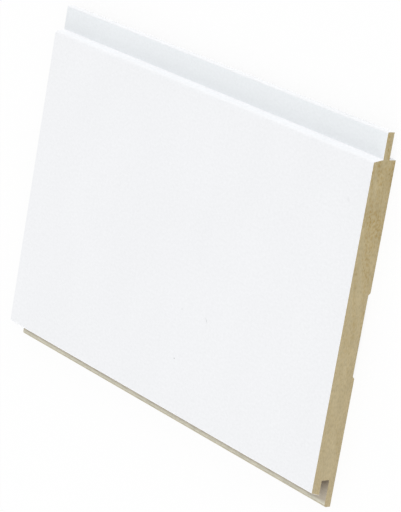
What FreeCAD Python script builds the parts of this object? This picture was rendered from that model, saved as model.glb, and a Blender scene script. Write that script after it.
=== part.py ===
import FreeCAD, Part
import os

import Sketcher

# Tongue and groove board, a short sawn sample, lying on its back.
# X runs along the board, Y across it towards the tongue, Z up to the painted face.
# The origin is under the middle of the board, on the plane of its back. Millimetres.

SIZES = {
    # the piece as sawn
    "sample_length": 238.0,
    "board_thickness": 12.0,
    # painted face, from arris to arris
    "face_width": 145.9,
    # open channel between the faces of two fitted boards, and how far each of its sides slopes inwards
    "shadow_gap": 7.8,
    "edge_slope": 1.0,
    # tongue, set back from the painted face
    "tongue_setback": 4.8,
    "tongue_thickness": 3.7,
    # groove, its depth taken from the end of the long back lip
    "groove_depth": 12.4,
    # room that a fitted tongue has at its nose and at each of its sides
    "nose_clearance": 0.5,
    "side_clearance": 0.25,
    # wide shallow relief along the middle of the back, with sloping sides
    "relief_width": 38.0,
    "relief_depth": 1.0,
    "relief_side_run": 1.0,
    # roundings: the face's two arrises, the corners that meet first in fitting, the tongue's root
    "arris_radius": 1.2,
    "lead_in_radius": 0.9,
    "root_radius": 0.5,
}

# Sizes that follow from the ones above
COVER_WIDTH = "(sizes.face_width + sizes.shadow_gap)"
TONGUE_REACH = "(sizes.groove_depth - sizes.nose_clearance)"
OVERALL_WIDTH = f"({COVER_WIDTH} + {TONGUE_REACH})"
GROOVE_WIDTH = "(sizes.tongue_thickness + 2 * sizes.side_clearance)"
FRONT_LIP = "(sizes.tongue_setback - sizes.side_clearance)"
BACK_LIP = f"(sizes.board_thickness - {FRONT_LIP} - {GROOVE_WIDTH})"

# The corners that meet first in fitting are rounded as far as the thin back lip allows
LIP_SHARE = 0.4
LEAD_IN = f"min(sizes.lead_in_radius; {LIP_SHARE} * {BACK_LIP})"

# Places in a sketch: the start and end of a line, the origin and the horizontal axis
START = 1
END = 2
ORIGIN = (-1, 1)
HORIZONTAL_AXIS = -1

# How near an edge lies to its corner of the section
FIT_TOLERANCE = 0.001


def make_sheet(doc):
    """Lists the driving sizes, one to a row, each under its own alias."""
    sheet = doc.addObject("Spreadsheet::Sheet", "sizes")
    for row, (alias, value) in enumerate(SIZES.items(), start=1):
        sheet.set(f"A{row}", alias)
        sheet.set(f"B{row}", str(value))
        sheet.setAlias(f"B{row}", alias)
    doc.recompute()


def section_sketch(body, name):
    """An empty sketch on the plane across the board, with Y to its right and Z up."""
    plane = next(item for item in body.Origin.OriginFeatures if item.Role == "YZ_Plane")
    sketch = body.newObject("Sketcher::SketchObject", name)
    sketch.AttachmentSupport = [(plane, "")]
    sketch.MapMode = "FlatFace"
    return sketch


def draw_outline(sketch, corners):
    """Joins the roughly placed corners into a closed outline and returns its lines by name.

    Each line has the name of the corner that it starts from. Lines drawn level or upright stay so.
    """
    points = [FreeCAD.Vector(y, z, 0) for y, z in corners.values()]
    lines = {}
    for index, name in enumerate(corners):
        start = points[index]
        end = points[(index + 1) % len(points)]
        line = sketch.addGeometry(Part.LineSegment(start, end), False)
        if start.y == end.y:
            sketch.addConstraint(Sketcher.Constraint("Horizontal", line))
        elif start.x == end.x:
            sketch.addConstraint(Sketcher.Constraint("Vertical", line))
        lines[name] = line
    for line in lines.values():
        following = (line + 1) % len(lines)
        sketch.addConstraint(Sketcher.Constraint("Coincident", line, END, following, START))
    return lines


def bind_distance(sketch, kind, name, first, second, drawn, size):
    """Ties the distance between two points of a sketch to a size of the sheet."""
    index = sketch.addConstraint(Sketcher.Constraint(kind, *first, *second, drawn))
    sketch.renameConstraint(index, name)
    sketch.setExpression(f"Constraints.{name}", size)


def set_across(sketch, name, first, second, size):
    """How far the second point lies from the first one across the board."""
    drawn = sketch.getPoint(*second).x - sketch.getPoint(*first).x
    bind_distance(sketch, "DistanceX", name, first, second, drawn, size)


def set_height(sketch, name, first, second, size):
    """How far the second point lies above the first one."""
    drawn = sketch.getPoint(*second).y - sketch.getPoint(*first).y
    bind_distance(sketch, "DistanceY", name, first, second, drawn, size)


def draw_board_section(body):
    """Section of the planed blank: back, tongue, face, front lip and the rebate over the back lip."""
    sketch = section_sketch(body, "board_section")
    lines = draw_outline(sketch, {
        "back": (-78, 0),
        "back_shoulder": (67, 0),
        "tongue_back": (67, 3),
        "tongue_nose": (78, 3),
        "tongue_front": (78, 7),
        "front_shoulder": (67, 7),
        "face": (66, 12),
        "lip_end": (-70, 12),
        "rebate": (-72, 8),
        "back_lip_face": (-72, 4),
        "back_lip_end": (-78, 4),
    })
    heel = (lines["back"], START)
    back_arris = (lines["back"], END)
    tongue_nose = (lines["tongue_nose"], START)
    tongue_root = (lines["front_shoulder"], START)
    face_arris = (lines["face"], START)
    lip_arris = (lines["lip_end"], START)
    lip_corner = (lines["lip_end"], END)

    sketch.addConstraint(Sketcher.Constraint("PointOnObject", *heel, HORIZONTAL_AXIS))
    set_across(sketch, "half_width", heel, ORIGIN, f"{OVERALL_WIDTH} / 2")
    set_across(sketch, "cover_width", heel, back_arris, COVER_WIDTH)
    set_across(sketch, "tongue_reach", back_arris, tongue_nose, TONGUE_REACH)
    sketch.addConstraint(Sketcher.Constraint("Vertical", *back_arris, *tongue_root))
    set_across(sketch, "shoulder_slope", face_arris, tongue_root, "sizes.edge_slope")
    set_across(sketch, "face_width", lip_arris, face_arris, "sizes.face_width")
    set_across(sketch, "lip_slope", lip_corner, lip_arris, "sizes.edge_slope")

    set_height(sketch, "board_thickness", back_arris, face_arris, "sizes.board_thickness")
    set_height(sketch, "tongue_setback", tongue_root, face_arris, "sizes.tongue_setback")
    set_height(sketch, "tongue_thickness", tongue_nose, (lines["tongue_nose"], END), "sizes.tongue_thickness")
    set_height(sketch, "front_lip", lip_corner, lip_arris, FRONT_LIP)
    set_height(sketch, "back_lip", heel, (lines["back_lip_end"], START), BACK_LIP)
    return sketch, lines


def draw_groove_section(body):
    """Section of the groove, from the end of the back lip inwards."""
    sketch = section_sketch(body, "groove_section")
    lines = draw_outline(sketch, {
        "back_side": (-78, 3),
        "bottom": (-66, 3),
        "front_side": (-66, 7),
        "mouth": (-78, 7),
    })
    lip_corner = (lines["back_side"], START)
    set_across(sketch, "half_width", lip_corner, ORIGIN, f"{OVERALL_WIDTH} / 2")
    set_across(sketch, "groove_depth", lip_corner, (lines["back_side"], END), "sizes.groove_depth")
    set_height(sketch, "back_lip", ORIGIN, lip_corner, BACK_LIP)
    set_height(sketch, "groove_width", lip_corner, (lines["mouth"], START), GROOVE_WIDTH)
    return sketch


def draw_relief_section(body):
    """Section of the relief, a flat with two sloping sides, centred on the back."""
    sketch = section_sketch(body, "relief_section")
    lines = draw_outline(sketch, {
        "mouth": (-24, 0),
        "tongue_side": (12, 0),
        "floor": (11, 1),
        "groove_side": (-23, 1),
    })
    groove_edge = (lines["mouth"], START)
    tongue_edge = (lines["mouth"], END)
    groove_corner = (lines["floor"], END)
    tongue_corner = (lines["floor"], START)
    heel_to_relief = f"({COVER_WIDTH} - sizes.relief_width) / 2"

    sketch.addConstraint(Sketcher.Constraint("PointOnObject", *groove_edge, HORIZONTAL_AXIS))
    set_across(sketch, "relief_place", groove_edge, ORIGIN, f"{OVERALL_WIDTH} / 2 - {heel_to_relief}")
    set_across(sketch, "relief_width", groove_edge, tongue_edge, "sizes.relief_width")
    set_across(sketch, "groove_side_run", groove_edge, groove_corner, "sizes.relief_side_run")
    set_across(sketch, "tongue_side_run", tongue_corner, tongue_edge, "sizes.relief_side_run")
    set_height(sketch, "relief_depth", groove_edge, groove_corner, "sizes.relief_depth")
    return sketch


def cut_lengthways(body, name, sketch):
    """Runs a cutter of the sketch's section along the whole board."""
    before = body.Shape.Volume
    cut = body.newObject("PartDesign::Pocket", name)
    cut.Profile = sketch
    cut.Type = "ThroughAll"
    cut.Midplane = True
    body.Document.recompute()
    if cut.Shape.Volume >= before:
        raise RuntimeError(f"{name} cuts nothing")


def long_edge(shape, sketch, line):
    """Name of the edge that runs along the board from the start of a line of its section."""
    corner = sketch.Placement.multVec(sketch.getPoint(line, START))
    for index, edge in enumerate(shape.Edges, start=1):
        offsets = [vertex.Point - corner for vertex in edge.Vertexes]
        if all(abs(offset.y) < FIT_TOLERANCE and abs(offset.z) < FIT_TOLERANCE for offset in offsets):
            return f"Edge{index}"
    raise RuntimeError("no long edge at this corner of the section")


def round_long_edges(body, name, sketch, lines, radius):
    """Rounds the long edges at the starts of the given lines of the section."""
    base = body.Tip
    fillet = body.newObject("PartDesign::Fillet", name)
    fillet.Base = (base, [long_edge(base.Shape, sketch, line) for line in lines])
    fillet.setExpression("Radius", radius)
    body.Document.recompute()


def make_board(doc):
    """The board, all one piece: blank, groove, relief and roundings."""
    body = doc.addObject("PartDesign::Body", "board")
    body.Label = "board"
    section, lines = draw_board_section(body)
    blank = body.newObject("PartDesign::Pad", "blank")
    blank.Profile = section
    blank.Midplane = True
    blank.setExpression("Length", "sizes.sample_length")
    doc.recompute()

    cut_lengthways(body, "groove", draw_groove_section(body))
    cut_lengthways(body, "back_relief", draw_relief_section(body))

    face_arrises = [lines["face"], lines["lip_end"]]
    lead_ins = [lines["tongue_front"], lines["back_lip_end"]]
    tongue_root = [lines["front_shoulder"]]
    round_long_edges(body, "face_arrises", section, face_arrises, "sizes.arris_radius")
    round_long_edges(body, "lead_ins", section, lead_ins, LEAD_IN)
    round_long_edges(body, "tongue_root", section, tongue_root, "sizes.root_radius")
    return body


def check_document(doc, bodies):
    """Stops before anything is written if a feature failed or a solid isn't sound."""
    for item in doc.Objects:
        if "Invalid" in item.State or "Error" in item.State:
            raise RuntimeError(f"{item.Label} did not build: {item.State}")
    for body in bodies:
        shape = body.Shape
        if shape.isNull() or not shape.isValid() or len(shape.Solids) != 1:
            raise RuntimeError(f"{body.Label} is not one sound solid")


def main():
    doc = FreeCAD.newDocument("tongue_and_groove_board")
    make_sheet(doc)
    bodies = [make_board(doc)]
    doc.recompute()
    check_document(doc, bodies)
    os.makedirs("parts", exist_ok=True)
    for body in bodies:
        body.Shape.exportStep(f"parts/{body.Label}.step")
        print(body.Label, round(body.Shape.Volume, 1), "mm3", body.Shape.BoundBox)


main()
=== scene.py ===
import math

import bmesh
import bpy
from mathutils import Matrix, Vector
from mathutils.geometry import intersect_point_line


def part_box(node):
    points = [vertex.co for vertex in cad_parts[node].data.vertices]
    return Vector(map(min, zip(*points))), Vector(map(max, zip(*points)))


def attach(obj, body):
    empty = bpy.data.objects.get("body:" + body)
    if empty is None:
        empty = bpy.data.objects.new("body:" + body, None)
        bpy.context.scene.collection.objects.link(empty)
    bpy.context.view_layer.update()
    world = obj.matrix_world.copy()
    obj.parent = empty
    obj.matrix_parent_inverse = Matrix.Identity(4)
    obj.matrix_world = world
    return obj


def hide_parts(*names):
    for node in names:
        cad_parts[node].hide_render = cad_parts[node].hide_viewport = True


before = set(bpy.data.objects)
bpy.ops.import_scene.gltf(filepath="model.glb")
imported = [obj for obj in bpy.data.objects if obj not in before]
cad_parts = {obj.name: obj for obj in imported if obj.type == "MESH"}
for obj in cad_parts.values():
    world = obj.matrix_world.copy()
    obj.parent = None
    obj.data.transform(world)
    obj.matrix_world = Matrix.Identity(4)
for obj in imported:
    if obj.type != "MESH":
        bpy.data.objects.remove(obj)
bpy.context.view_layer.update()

# Tongue and groove board: a short sawn sample of primed MDF, lying on its back. Metres and degrees.
# X runs along the board, Y across it towards the tongue, Z up to the painted face.

MM = 0.001

# Section of the board, as planed
FACE_WIDTH = 145.9 * MM
EDGE_SLOPE = 1 * MM
TONGUE_SETBACK = 4.8 * MM
TONGUE_THICKNESS = 3.7 * MM
GROOVE_DEPTH = 12.4 * MM
NOSE_CLEARANCE = 0.5 * MM
SIDE_CLEARANCE = 0.25 * MM
RELIEF_WIDTH = 38 * MM
RELIEF_DEPTH = 1 * MM
RELIEF_SIDE_RUN = 1 * MM
ARRIS_RADIUS = 1.2 * MM
LEAD_IN_RADIUS = 0.9 * MM
ROOT_RADIUS = 0.5 * MM
ROUND_SEGMENTS = 6

# Sawn ends: the eased edge, the primer film seen edge on, and the fibres that the saw tore
SAWN_EASE = 0.1 * MM
SAWN_EASE_SEGMENTS = 2
FILM_RIM = 0.16 * MM
FIBRE_GRID = 0.6 * MM
TORN_DEPTH = 0.06 * MM
TORN_SIZE = 1.1 * MM
TORN_DETAIL = 3

# Places in the section, from the board's box in model.glb
BOARD_LOW, BOARD_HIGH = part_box("board")
HEEL_Y = BOARD_LOW.y
NOSE_Y = BOARD_HIGH.y
BACK_Z = BOARD_LOW.z
FACE_Z = BOARD_HIGH.z
GROOVE_BOTTOM_Y = HEEL_Y + GROOVE_DEPTH
ROOT_Y = NOSE_Y - GROOVE_DEPTH + NOSE_CLEARANCE
FACE_ARRIS_Y = ROOT_Y - EDGE_SLOPE
LIP_ARRIS_Y = FACE_ARRIS_Y - FACE_WIDTH
LIP_CORNER_Y = LIP_ARRIS_Y - EDGE_SLOPE
TONGUE_FRONT_Z = FACE_Z - TONGUE_SETBACK
TONGUE_BACK_Z = TONGUE_FRONT_Z - TONGUE_THICKNESS
GROOVE_FRONT_Z = TONGUE_FRONT_Z + SIDE_CLEARANCE
GROOVE_BACK_Z = TONGUE_BACK_Z - SIDE_CLEARANCE
RELIEF_FLOOR_Z = BACK_Z + RELIEF_DEPTH
RELIEF_MIDDLE_Y = (HEEL_Y + ROOT_Y) / 2
RELIEF_FLOOR_HALF = RELIEF_WIDTH / 2 - RELIEF_SIDE_RUN

# The stretch of the section that the primer covers, from the back shoulder round to the front lip
PRIMED_OUTLINE = [
    (ROOT_Y, BACK_Z),
    (ROOT_Y, TONGUE_BACK_Z),
    (NOSE_Y, TONGUE_BACK_Z),
    (NOSE_Y, TONGUE_FRONT_Z),
    (ROOT_Y, TONGUE_FRONT_Z),
    (FACE_ARRIS_Y, FACE_Z),
    (LIP_ARRIS_Y, FACE_Z),
    (LIP_CORNER_Y, GROOVE_FRONT_Z),
]

# How near counts as touching, and the decimals that a corner's place keeps
NEAR = 0.01 * MM
PLACE_DECIMALS = 7

# How flat counts as one plane, and how sharp an edge stays sharp
FLAT_ANGLE = 0.1
SMOOTH_ANGLE = 35

# Directions of the cuts
ALONG_Y = Vector((0, 1, 0))
ALONG_Z = Vector((0, 0, 1))

# How much of a normal lies along an axis, for a face that is square to it, looks that way or just leans
IN_PLANE = 0.999
LEVEL = 0.99
FACING = 0.9
HALF_FACING = 0.5
EASED = 0.2
LEANING = 0.1

# Spans of a random pattern: where most of it lies, its upper part and its peaks
MOST = (0.3, 0.7)
UPPER = (0.45, 0.75)
PEAKS = (0.5, 0.8)

# Primer: patterns with their sizes along, across and through the board, and the shade that each gives
FACE_WHITE = (0.89, 0.898, 0.916)
# The tongue's white is darker and bluer than the face's: a thinner coat, and painted shade of the recess
# behind the front shoulder
TONGUE_WHITE_AND_SHADE = (0.848, 0.875, 0.896)
COAT = {"sizes": (30 * MM, 45 * MM, 30 * MM)}
COAT_SHADES = (0.992, 1.006)
STREAKS = {"sizes": (1.6 * MM, 40 * MM, 1.6 * MM), "shift": 7.0}
STREAK_SHADES = (1.0, 0.996)
PEEL = {"sizes": (1.5 * MM, 1.2 * MM, 1.2 * MM), "detail": 1.0}
PEEL_SHADES = (0.98, 1.016)
PEEL_DEPTH = 0.008 * MM
GRAIN = {"sizes": (0.5 * MM, 0.5 * MM, 0.5 * MM), "shift": 3.0}
GRAIN_SHADES = (1.006, 0.99)
GRAIN_DEPTH = 0.003 * MM
PRIMER_ROUGHNESS = (0.48, 0.62)
PRIMER_GLOSS = 0.4

# Small marks in the paint of the face: place along and across, slant, length, width, and how dark
FACE_MARKS = [
    (30.2 * MM, -27.5 * MM, -50, 3.4 * MM, 0.6 * MM, 0.25),
    (12.3 * MM, -51.3 * MM, 0, 1.0 * MM, 0.8 * MM, 0.45),
    (11.9 * MM, -28 * MM, 0, 1.6 * MM, 1.4 * MM, 0.08),
    (108 * MM, 50.8 * MM, -50, 3.6 * MM, 2 * MM, 0.05),
]
MARK_FADE = (0.4, 1.0)

# Bare fibreboard: the fibres of each cut, and the mottle and dust that all of them share
SAWN_FIBRES = (1.2 * MM, 1.6 * MM, 0.5 * MM)
SAWN_FIBRE_DEPTH = 0.05 * MM
MILLED_FIBRES = (4 * MM, 0.5 * MM, 0.5 * MM)
SANDED_FIBRES = (2 * MM, 0.8 * MM, 0.8 * MM)
SMOOTH_FIBRE_DEPTH = 0.02 * MM
FIBRE_DETAIL = 4.0
FIBRE_SHIFT = 5.0
FIBRE_SHADES = (1.0, 0.8)
MOTTLE = {"sizes": (9 * MM, 9 * MM, 4 * MM)}
MOTTLE_SHADES = (0.96, 1.05)
DUST_SHARE = 0.35
DUST_SHIFT = 11.0
DUST_SHADES = (1.0, 1.12)
FIBRE_ROUGHNESS = (0.82, 0.95)
FIBRE_GLOSS = 0.15

# Sawn ends: paler towards the groove, with scorched streaks that grow in number towards the tongue
SAWN_TAN = (0.444, 0.371, 0.22)
SAWN_TAN_PALE = (0.463, 0.3895, 0.2446)
SCORCHED_TAN = (0.35, 0.25, 0.09)
SCORCH_STREAKS = {"sizes": (6 * MM, 18 * MM, 2.6 * MM), "detail": 3.0, "shift": 31.0, "slant": -10}
SCORCH_STREAK_SPAN = (0.4, 0.68)
SCORCH_FLECKS = {"sizes": (0.9 * MM, 1.3 * MM, 0.8 * MM), "shift": 23.0}
SCORCH_FLECK_SPAN = (0.4, 0.65)
SCORCH_FLECK_AMOUNTS = (0.1, 1.0)
SCORCH_START_Y = LIP_ARRIS_Y + 0.3 * FACE_WIDTH
SCORCH_FULL_Y = LIP_ARRIS_Y + 0.8 * FACE_WIDTH
SCORCH_SIDE_AMOUNTS = (0.3, 1.0)

# Groove, back lip and back: dark in the groove, paler outwards, with overspray at the edge of the back lip.
# The dark tan deep in the groove is painted shade of the recess over bare board, and the darker tan left on
# the back lip under the front lip is painted shadow of that lip
GROOVE_TAN_AND_SHADE = (0.34, 0.29, 0.225)
MILLED_TAN_AND_LIP_SHADE = (0.5, 0.445, 0.36)
MILLED_START_Y = GROOVE_BOTTOM_Y - 1 * MM
MILLED_FULL_Y = GROOVE_BOTTOM_Y - 5 * MM
# Until the overspray starts, the back lip keeps the darker milled tan: painted shadow under the front lip;
# the paler overspray beyond it is the board's own colour
OVERSPRAY = (0.7, 0.67, 0.55)
OVERSPRAY_START_Y = HEEL_Y + 2.7 * MM
OVERSPRAY_FULL_Y = HEEL_Y + 1.6 * MM
HEEL_TAN = (0.56, 0.515, 0.4)
BACK_TAN = (0.56, 0.47, 0.3)

# Studio: the floor's width and whiteness, the light from all round and the two soft lamps
WHITE = (1.0, 1.0, 1.0)
FLOOR_SIZE = 8.0
FLOOR_WHITE = (0.965, 0.965, 0.965)
FLOOR_VEIL = 0.9
ROOM_LIGHT = 0.8
TONGUE_SIDE_LAMP = (0.3, 0.9, 0.31)
TONGUE_SIDE_STRENGTH = 0.3 * math.pi
GROOVE_SIDE_LAMP = (0.44, -0.83, 0.36)
GROOVE_SIDE_STRENGTH = 0.31 * math.pi
LAMP_SPREAD = 50

# Camera: where it stands, what it looks at, which way is up in the picture, and its lens
CAMERA_PLACE = (901.37 * MM, 280.55 * MM, 733.11 * MM)
CAMERA_AIM = (18.36 * MM, -1.03 * MM, 12 * MM)
PICTURE_UP = (-0.29116, 0.95652, -0.01699)
CAMERA_LENS = 184.94

# Sockets of a colour mix, which share their names with those of other mixes
MIX_AMOUNT = 0
MIX_FIRST = 6
MIX_SECOND = 7
MIX_RESULT = 2


# Modelling by hand

def select_faces(piece, wanted):
    """Selects the faces whose middle and normal pass the test, and nothing else."""
    bpy.ops.mesh.select_mode(type="FACE")
    bpy.ops.mesh.select_all(action="DESELECT")
    mesh = bmesh.from_edit_mesh(piece.data)
    for face in mesh.faces:
        if wanted(face.calc_center_median(), face.normal):
            face.select_set(True)
    bmesh.update_edit_mesh(piece.data)


def select_edges(piece, wanted):
    """Selects the edges whose two ends pass the test, and nothing else."""
    bpy.ops.mesh.select_mode(type="EDGE")
    bpy.ops.mesh.select_all(action="DESELECT")
    mesh = bmesh.from_edit_mesh(piece.data)
    for edge in mesh.edges:
        if wanted(edge.verts[0].co, edge.verts[1].co):
            edge.select_set(True)
    bmesh.update_edit_mesh(piece.data)


def along_board(y, z):
    """Test for an edge that runs along the board through this place of its section."""
    def wanted(first, second):
        return all(abs(end.y - y) < NEAR and abs(end.z - z) < NEAR for end in (first, second))
    return wanted


def cut(place, normal):
    """Cuts the selected faces along a plane."""
    bpy.ops.mesh.bisect(plane_co=place, plane_no=normal)


def extrude(move):
    """Draws the selected faces out."""
    bpy.ops.mesh.extrude_region_move(TRANSFORM_OT_translate={"value": move})


def block_of_board():
    """The board's middle as a plain block: between the shoulders and the groove's bottom, over the relief."""
    low = Vector((BOARD_LOW.x, GROOVE_BOTTOM_Y, RELIEF_FLOOR_Z))
    high = Vector((BOARD_HIGH.x, ROOT_Y, FACE_Z))
    bpy.ops.object.select_all(action="DESELECT")
    bpy.ops.mesh.primitive_cube_add(size=1, location=(low + high) / 2, scale=high - low)
    bpy.ops.object.transform_apply(location=True, rotation=True, scale=True)
    piece = bpy.context.object
    piece.name = "primed_board"
    bpy.ops.object.mode_set(mode="EDIT")
    return piece


def draw_down_back_strips(piece):
    """The two flat strips of the back, which leave the relief between them."""
    for side in (-1, 1):
        select_faces(piece, lambda middle, normal: normal.z < -FACING)
        cut(Vector((0, RELIEF_MIDDLE_Y + side * RELIEF_FLOOR_HALF, 0)), ALONG_Y)
    select_faces(piece, lambda middle, normal: normal.z < -FACING
                 and abs(middle.y - RELIEF_MIDDLE_Y) > RELIEF_FLOOR_HALF)
    extrude(Vector((0, 0, -RELIEF_DEPTH)))
    for side in (-1, 1):
        select_edges(piece, along_board(RELIEF_MIDDLE_Y + side * RELIEF_FLOOR_HALF, BACK_Z))
        bpy.ops.transform.translate(value=(0, side * RELIEF_SIDE_RUN, 0))


def draw_out_tongue(piece):
    """The tongue, drawn out from between its shoulders, and the slope of the front shoulder."""
    select_faces(piece, lambda middle, normal: normal.y > FACING and middle.y > ROOT_Y - NEAR)
    cut(Vector((0, 0, TONGUE_BACK_Z)), ALONG_Z)
    select_faces(piece, lambda middle, normal: normal.y > FACING and middle.z > TONGUE_BACK_Z)
    cut(Vector((0, 0, TONGUE_FRONT_Z)), ALONG_Z)
    select_faces(piece, lambda middle, normal: normal.y > FACING
                 and TONGUE_BACK_Z < middle.z < TONGUE_FRONT_Z)
    extrude(Vector((0, NOSE_Y - ROOT_Y, 0)))
    select_edges(piece, along_board(ROOT_Y, FACE_Z))
    bpy.ops.transform.translate(value=(0, -EDGE_SLOPE, 0))


def draw_out_lips(piece):
    """The two lips of the groove: the long back one and the front one with its sloping end."""
    select_faces(piece, lambda middle, normal: normal.y < -FACING and middle.y < GROOVE_BOTTOM_Y + NEAR)
    cut(Vector((0, 0, GROOVE_BACK_Z)), ALONG_Z)
    select_faces(piece, lambda middle, normal: normal.y < -FACING and middle.z > GROOVE_BACK_Z
                 and middle.y < GROOVE_BOTTOM_Y + NEAR)
    cut(Vector((0, 0, GROOVE_FRONT_Z)), ALONG_Z)
    select_faces(piece, lambda middle, normal: normal.y < -FACING and middle.z < GROOVE_BACK_Z
                 and middle.y < GROOVE_BOTTOM_Y + NEAR)
    extrude(Vector((0, HEEL_Y - GROOVE_BOTTOM_Y, 0)))
    select_faces(piece, lambda middle, normal: normal.y < -FACING and middle.z > GROOVE_FRONT_Z)
    extrude(Vector((0, LIP_ARRIS_Y - GROOVE_BOTTOM_Y, 0)))
    select_edges(piece, along_board(LIP_ARRIS_Y, GROOVE_FRONT_Z))
    bpy.ops.transform.translate(value=(0, -EDGE_SLOPE, 0))


def join_flat_faces():
    """Joins faces that lie in one plane, so that each end of the board is a single face."""
    bpy.ops.mesh.select_all(action="SELECT")
    bpy.ops.mesh.remove_doubles(threshold=NEAR)
    bpy.ops.mesh.dissolve_limited(angle_limit=math.radians(FLAT_ANGLE))
    bpy.ops.mesh.normals_make_consistent(inside=False)


def round_long_edge(piece, y, z, offset):
    """Rounds one edge that runs along the board."""
    select_edges(piece, along_board(y, z))
    bpy.ops.mesh.bevel(offset=offset, offset_type="OFFSET", segments=ROUND_SEGMENTS, affect="EDGES")


def tangent_length(radius, slope_height):
    """How far a rounding of this radius reaches from a corner between a level face and a sloping edge."""
    turn = math.pi / 2 - math.atan2(EDGE_SLOPE, slope_height)
    return radius * math.tan(turn / 2)


def round_long_edges(piece):
    """The roundings of the section: arrises of the face, lead-ins of tongue and lip, root of the tongue."""
    shoulder_height = FACE_Z - TONGUE_FRONT_Z
    lip_height = FACE_Z - GROOVE_FRONT_Z
    round_long_edge(piece, FACE_ARRIS_Y, FACE_Z, tangent_length(ARRIS_RADIUS, shoulder_height))
    round_long_edge(piece, LIP_ARRIS_Y, FACE_Z, tangent_length(ARRIS_RADIUS, lip_height))
    round_long_edge(piece, NOSE_Y, TONGUE_FRONT_Z, LEAD_IN_RADIUS)
    round_long_edge(piece, HEEL_Y, GROOVE_BACK_Z, LEAD_IN_RADIUS)
    round_long_edge(piece, ROOT_Y, TONGUE_FRONT_Z, tangent_length(ROOT_RADIUS, shoulder_height))


def on_sawn_end(middle, normal):
    """Test for a face that lies in the plane of a sawn end."""
    return abs(normal.x) > IN_PLANE


def saw_ends(piece):
    """Eases the sawn edges, marks off the film's rim and divides the board for the torn fibres of its ends.

    The cuts go through the whole board, so that they meet no uncut edge.
    """
    select_faces(piece, on_sawn_end)
    bpy.ops.mesh.region_to_loop()
    bpy.ops.mesh.bevel(offset=SAWN_EASE, segments=SAWN_EASE_SEGMENTS, affect="EDGES")
    select_faces(piece, on_sawn_end)
    bpy.ops.mesh.inset(thickness=FILM_RIM, use_even_offset=True)
    for low, high, axis in ((HEEL_Y, NOSE_Y, ALONG_Y), (BACK_Z, FACE_Z, ALONG_Z)):
        count = round((high - low) / FIBRE_GRID)
        for step in range(1, count):
            bpy.ops.mesh.select_all(action="SELECT")
            cut(axis * (low + (high - low) * step / count), axis)


def put_in_order(piece):
    """Lists the corners and faces in a fixed order, because the cuts leave them in another one each time."""
    mesh = piece.data
    places = [tuple(round(part, PLACE_DECIMALS) for part in corner.co) for corner in mesh.vertices]
    order = sorted(range(len(places)), key=lambda corner: places[corner])
    rank = {corner: position for position, corner in enumerate(order)}
    faces = []
    for face in mesh.polygons:
        ring = [rank[corner] for corner in face.vertices]
        first = ring.index(min(ring))
        faces.append(ring[first:] + ring[:first])
    mesh.clear_geometry()
    mesh.from_pydata([places[corner] for corner in order], [], sorted(faces))


def tear_fibres(piece):
    """Lets the saw tear the fibres of the ends, always inwards from the plane of the cut."""
    inner = {corner for face in piece.data.polygons if is_torn(face) for corner in face.vertices}
    rim = {corner for face in piece.data.polygons if not is_torn(face) for corner in face.vertices}
    torn = piece.vertex_groups.new(name="torn_fibres")
    torn.add(sorted(inner - rim), 1.0, "REPLACE")
    clouds = bpy.data.textures.new("torn_fibres", type="CLOUDS")
    clouds.noise_scale = TORN_SIZE
    clouds.noise_depth = TORN_DETAIL
    displace = piece.modifiers.new("torn_fibres", "DISPLACE")
    displace.texture = clouds
    displace.texture_coords = "LOCAL"
    displace.vertex_group = torn.name
    displace.mid_level = 1.0
    displace.strength = TORN_DEPTH
    bpy.ops.object.modifier_apply(modifier=displace.name)
    piece.vertex_groups.clear()


def is_torn(face):
    """Whether a face is part of a sawn end, inside the rim of primer and eased edge."""
    return on_sawn_end(face.center, face.normal) and not near_primer(face.center, FILM_RIM)


def near_primer(place, reach):
    """Whether a place of the section lies within this reach of the primed outline."""
    point = Vector((place.y, place.z))
    for start, end in zip(PRIMED_OUTLINE, PRIMED_OUTLINE[1:]):
        start, end = Vector(start), Vector(end)
        share = intersect_point_line(point, start, end)[1]
        nearest = start.lerp(end, min(max(share, 0.0), 1.0))
        if (point - nearest).length < reach:
            return True
    return False


def smooth_flanks(piece):
    """Smooth roundings beside flat flanks, with the sharp edges kept."""
    bpy.ops.object.shade_smooth_by_angle(angle=math.radians(SMOOTH_ANGLE))
    weigh = piece.modifiers.new("flat_flanks", "WEIGHTED_NORMAL")
    weigh.keep_sharp = True
    bpy.ops.object.modifier_apply(modifier=weigh.name)


def make_board():
    """The whole board, from block to sawn sample."""
    piece = block_of_board()
    draw_down_back_strips(piece)
    draw_out_tongue(piece)
    draw_out_lips(piece)
    join_flat_faces()
    round_long_edges(piece)
    saw_ends(piece)
    bpy.ops.object.mode_set(mode="OBJECT")
    put_in_order(piece)
    tear_fibres(piece)
    smooth_flanks(piece)
    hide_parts("board")
    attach(piece, "root")
    return piece


# Finishes

def add_node(owner, kind, inputs=None, **options):
    """Adds a shader node to a material or the world, sets its options, and fills in or links its inputs."""
    node = owner.node_tree.nodes.new(kind)
    for name, value in options.items():
        setattr(node, name, value)
    for name, value in (inputs or {}).items():
        if isinstance(value, bpy.types.NodeSocket):
            owner.node_tree.links.new(value, node.inputs[name])
        else:
            node.inputs[name].default_value = value
    return node


def place_on_board(material):
    """The place on the board, in metres."""
    return add_node(material, "ShaderNodeTexCoord").outputs["Object"]


def cloud(material, sizes, detail=2.0, shift=0.0, slant=0.0):
    """Random blots from 0 to 1, of these sizes along, across and through the board.

    The shift picks another pattern, and the slant turns it on the board's ends.
    """
    turned = add_node(material, "ShaderNodeVectorRotate", {
        "Vector": place_on_board(material), "Angle": math.radians(slant)}, rotation_type="X_AXIS")
    scaled = add_node(material, "ShaderNodeMapping", {
        "Vector": turned.outputs["Vector"], "Location": (shift, shift, shift),
        "Scale": [1 / size for size in sizes]})
    return add_node(material, "ShaderNodeTexNoise", {
        "Vector": scaled.outputs["Vector"], "Scale": 1.0, "Detail": detail}).outputs["Fac"]


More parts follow.
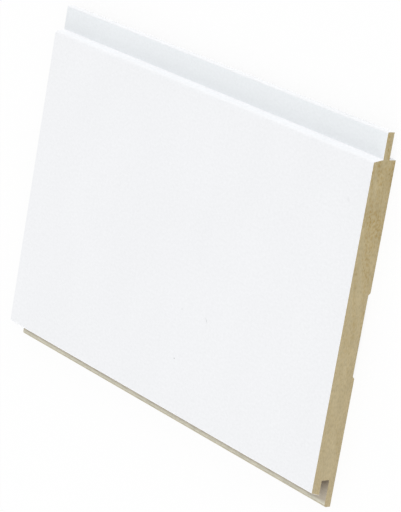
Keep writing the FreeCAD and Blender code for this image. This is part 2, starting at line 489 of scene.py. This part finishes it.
def stretch(owner, value, span, to=(0.0, 1.0)):
    """Stretches a value from one span to another and stops at its ends."""
    return add_node(owner, "ShaderNodeMapRange", {
        "Value": value, "From Min": span[0], "From Max": span[1],
        "To Min": to[0], "To Max": to[1]}).outputs["Result"]


def times(material, first, second):
    """The product of two values."""
    product = add_node(material, "ShaderNodeMath", {0: first, 1: second}, operation="MULTIPLY")
    return product.outputs["Value"]


def tint(colour):
    """A colour as a shader takes it."""
    return (*colour, 1.0)


def blend(material, amount, first, second):
    """Goes from the first colour to the second as the amount goes from 0 to 1."""
    mix = add_node(material, "ShaderNodeMix", {
        MIX_AMOUNT: amount, MIX_FIRST: first, MIX_SECOND: second}, data_type="RGBA")
    return mix.outputs[MIX_RESULT]


def shaded(material, colour, level):
    """A colour made darker or lighter by a level that changes from place to place."""
    base = colour if isinstance(colour, bpy.types.NodeSocket) else colour[:3]
    scaled = add_node(material, "ShaderNodeVectorMath", {0: base, "Scale": level}, operation="SCALE")
    return scaled.outputs["Vector"]


def roughen(material, height, depth, below=None):
    """Relief too fine to model: a height from 0 to 1 over this depth."""
    inputs = {"Height": height, "Distance": depth}
    if below is not None:
        inputs["Normal"] = below
    return add_node(material, "ShaderNodeBump", inputs).outputs["Normal"]


def start_material(name):
    """A new material and its shader."""
    material = bpy.data.materials.new(name)
    material.use_nodes = True
    return material, material.node_tree.nodes["Principled BSDF"]


def finish_material(material, shader, colour, roughness, relief, gloss):
    """Links what changes from place to place to the shader, and sets its even gloss."""
    links = material.node_tree.links
    links.new(colour, shader.inputs["Base Color"])
    links.new(roughness, shader.inputs["Roughness"])
    links.new(relief, shader.inputs["Normal"])
    shader.inputs["Specular IOR Level"].default_value = gloss
    return material


def mark(material, along, across, slant, length, width):
    """A small mark on the face: 1 in its middle and 0 around it."""
    laid = add_node(material, "ShaderNodeMapping", {
        "Vector": place_on_board(material), "Location": (along, across, FACE_Z),
        "Rotation": (0, 0, math.radians(slant)),
        "Scale": (length / 2, width / 2, width / 2)}, vector_type="TEXTURE")
    reach = add_node(material, "ShaderNodeVectorMath", {0: laid.outputs["Vector"]}, operation="LENGTH")
    return stretch(material, reach.outputs["Value"], MARK_FADE, (1.0, 0.0))


def primer(name, colour):
    """Sprayed primer: orange peel, faint streaks across the board, an uneven coat and small marks."""
    material, shader = start_material(name)
    peel = cloud(material, **PEEL)
    grain = cloud(material, **GRAIN)
    shade = shaded(material, colour, stretch(material, cloud(material, **COAT), MOST, COAT_SHADES))
    shade = shaded(material, shade, stretch(material, cloud(material, **STREAKS), UPPER, STREAK_SHADES))
    shade = shaded(material, shade, stretch(material, peel, MOST, PEEL_SHADES))
    shade = shaded(material, shade, stretch(material, grain, MOST, GRAIN_SHADES))
    for *place_and_size, darkness in FACE_MARKS:
        shown = mark(material, *place_and_size)
        shade = shaded(material, shade, stretch(material, shown, (0.0, 1.0), (1.0, 1.0 - darkness)))
    roughness = stretch(material, grain, MOST, PRIMER_ROUGHNESS)
    relief = roughen(material, peel, PEEL_DEPTH)
    relief = roughen(material, grain, GRAIN_DEPTH, relief)
    return finish_material(material, shader, shade, roughness, relief, PRIMER_GLOSS)


def across_board(material, start, end, to=(0.0, 1.0)):
    """Goes from the first amount to the second between two places across the board."""
    across = add_node(material, "ShaderNodeSeparateXYZ", {"Vector": place_on_board(material)})
    return stretch(material, across.outputs["Y"], (start, end), to)


def scorch(material, shade):
    """Slanting streaks that the saw scorched, more of them towards the tongue."""
    streaks = stretch(material, cloud(material, **SCORCH_STREAKS), SCORCH_STREAK_SPAN)
    flecks = stretch(material, cloud(material, **SCORCH_FLECKS), SCORCH_FLECK_SPAN, SCORCH_FLECK_AMOUNTS)
    side = across_board(material, SCORCH_START_Y, SCORCH_FULL_Y, SCORCH_SIDE_AMOUNTS)
    amount = times(material, times(material, streaks, flecks), side)
    return blend(material, amount, shade, tint(SCORCHED_TAN))


def fibreboard(name, colour, sizes, depth, drifts=(), scorched=False):
    """Bare fibreboard: short fibres of these sizes, lighter and darker flecks and a soft mottle.

    Each drift is another colour, and the two places across the board where it starts and is reached.
    """
    material, shader = start_material(name)
    fibres = cloud(material, sizes, FIBRE_DETAIL, FIBRE_SHIFT)
    dust = cloud(material, [size * DUST_SHARE for size in sizes], shift=DUST_SHIFT)
    base = tint(colour)
    for other, start, end in drifts:
        base = blend(material, across_board(material, start, end), base, tint(other))
    if scorched:
        base = scorch(material, base)
    shade = shaded(material, base, stretch(material, cloud(material, **MOTTLE), MOST, MOTTLE_SHADES))
    shade = shaded(material, shade, stretch(material, fibres, UPPER, FIBRE_SHADES))
    shade = shaded(material, shade, stretch(material, dust, PEAKS, DUST_SHADES))
    roughness = stretch(material, fibres, MOST, FIBRE_ROUGHNESS)
    relief = roughen(material, fibres, depth)
    return finish_material(material, shader, shade, roughness, relief, FIBRE_GLOSS)


def paint_faces(piece, material, wanted):
    """Gives the faces that pass the test this finish."""
    piece.data.materials.append(material)
    slot = len(piece.data.materials) - 1
    for face in piece.data.polygons:
        if wanted(face):
            face.material_index = slot


def finish_board(piece):
    """Every surface's finish: bare board first, then the primer over it, then the sanded back."""
    white = primer("white_primer", FACE_WHITE)
    thin = primer("thin_primer_and_shade", TONGUE_WHITE_AND_SHADE)
    sawn = fibreboard("sawn_fibreboard", SAWN_TAN, SAWN_FIBRES, SAWN_FIBRE_DEPTH,
                      [(SAWN_TAN_PALE, FACE_ARRIS_Y, HEEL_Y)], scorched=True)
    # Darker deep in the groove and along the back lip under the front lip: painted shade and shadow over the
    # bare board's colour
    milled = fibreboard("milled_fibreboard", GROOVE_TAN_AND_SHADE, MILLED_FIBRES, SMOOTH_FIBRE_DEPTH,
                        [(MILLED_TAN_AND_LIP_SHADE, MILLED_START_Y, MILLED_FULL_Y),
                         (OVERSPRAY, OVERSPRAY_START_Y, OVERSPRAY_FULL_Y)])
    heel = fibreboard("bare_heel", HEEL_TAN, MILLED_FIBRES, SMOOTH_FIBRE_DEPTH)
    back = fibreboard("sanded_back", BACK_TAN, SANDED_FIBRES, SMOOTH_FIBRE_DEPTH)
    paint_faces(piece, milled, lambda face: True)
    paint_faces(piece, heel, lambda face: face.normal.y < -LEANING
                and face.center.y < HEEL_Y + LEAD_IN_RADIUS)
    paint_faces(piece, sawn, lambda face: abs(face.normal.x) > EASED)
    paint_faces(piece, white, lambda face: near_primer(face.center, primer_reach(face)))
    # The tongue's faces take the darker primer, which holds painted shade of the recess as well as the
    # thinner coat
    paint_faces(piece, thin, lambda face: abs(face.normal.z) > LEVEL and face.center.y > ROOT_Y)
    paint_faces(piece, back, lambda face: face.normal.z < -HALF_FACING
                and face.center.z < RELIEF_FLOOR_Z + NEAR)


def primer_reach(face):
    """How far from the primed outline a face is still coated: less on an end, where the film is cut."""
    if abs(face.normal.x) > EASED:
        return FILM_RIM
    return ARRIS_RADIUS / 2


# Plain studio

def seen_directly(owner):
    """1 for what the camera sees straight on, mirrored or through glass, and 0 for light on the object."""
    path = add_node(owner, "ShaderNodeLightPath").outputs
    seen = path["Is Camera Ray"]
    for other in ("Is Glossy Ray", "Is Transmission Ray"):
        either = add_node(owner, "ShaderNodeMath", {0: seen, 1: path[other]}, operation="MAXIMUM")
        seen = either.outputs["Value"]
    return seen


def lay_floor():
    """A pale floor that takes the object's shadow and looks almost white around it."""
    bpy.ops.mesh.primitive_plane_add(size=FLOOR_SIZE, location=(0, 0, BACK_Z))
    floor = bpy.context.object
    floor.name = "floor"
    material, shader = start_material("pale_floor")
    shader.inputs["Base Color"].default_value = tint(FLOOR_WHITE)
    shader.inputs["Roughness"].default_value = 1.0
    shader.inputs["Specular IOR Level"].default_value = 0.0
    white = add_node(material, "ShaderNodeEmission", {"Color": tint(WHITE), "Strength": 1.0})
    veil = stretch(material, seen_directly(material), (0.0, 1.0), (0.0, FLOOR_VEIL))
    mixed = add_node(material, "ShaderNodeMixShader", {
        0: veil, 1: shader.outputs["BSDF"], 2: white.outputs["Emission"]})
    tree = material.node_tree
    tree.links.new(mixed.outputs["Shader"], tree.nodes["Material Output"].inputs["Surface"])
    floor.data.materials.append(material)


def light_studio():
    """Even light from all round, seen as white, and a broad soft lamp on each side of the board."""
    world = bpy.data.worlds.new("studio")
    bpy.context.scene.world = world
    world.use_nodes = True
    tree = world.node_tree
    room = tree.nodes["Background"]
    room.inputs["Color"].default_value = tint(WHITE)
    room.inputs["Strength"].default_value = ROOM_LIGHT
    white = add_node(world, "ShaderNodeBackground", {"Color": tint(WHITE), "Strength": 1.0})
    choose = add_node(world, "ShaderNodeMixShader", {
        0: seen_directly(world), 1: room.outputs["Background"], 2: white.outputs["Background"]})
    tree.links.new(choose.outputs["Shader"], tree.nodes["World Output"].inputs["Surface"])
    hang_lamp("tongue_side_lamp", TONGUE_SIDE_LAMP, TONGUE_SIDE_STRENGTH)
    hang_lamp("groove_side_lamp", GROOVE_SIDE_LAMP, GROOVE_SIDE_STRENGTH)


def hang_lamp(name, place, strength):
    """A broad soft lamp, far off in this direction."""
    bpy.ops.object.light_add(type="SUN")
    lamp = bpy.context.object
    lamp.name = name
    lamp.rotation_euler = Vector(place).to_track_quat("Z", "Y").to_euler()
    lamp.data.energy = strength
    lamp.data.angle = math.radians(LAMP_SPREAD)


def set_camera():
    """Looks down on the board from beyond its right end, turned so that the tongue is on top."""
    bpy.ops.object.camera_add(location=CAMERA_PLACE)
    camera = bpy.context.object
    view = (Vector(CAMERA_AIM) - Vector(CAMERA_PLACE)).normalized()
    right = view.cross(Vector(PICTURE_UP)).normalized()
    up = right.cross(view)
    camera.rotation_euler = Matrix((right, up, -view)).transposed().to_euler()
    camera.data.lens = CAMERA_LENS
    camera.data.clip_end = 2 * FLOOR_SIZE
    bpy.context.scene.camera = camera


board = make_board()
finish_board(board)
lay_floor()
light_studio()
set_camera()
bpy.context.scene.view_settings.view_transform = "Standard"
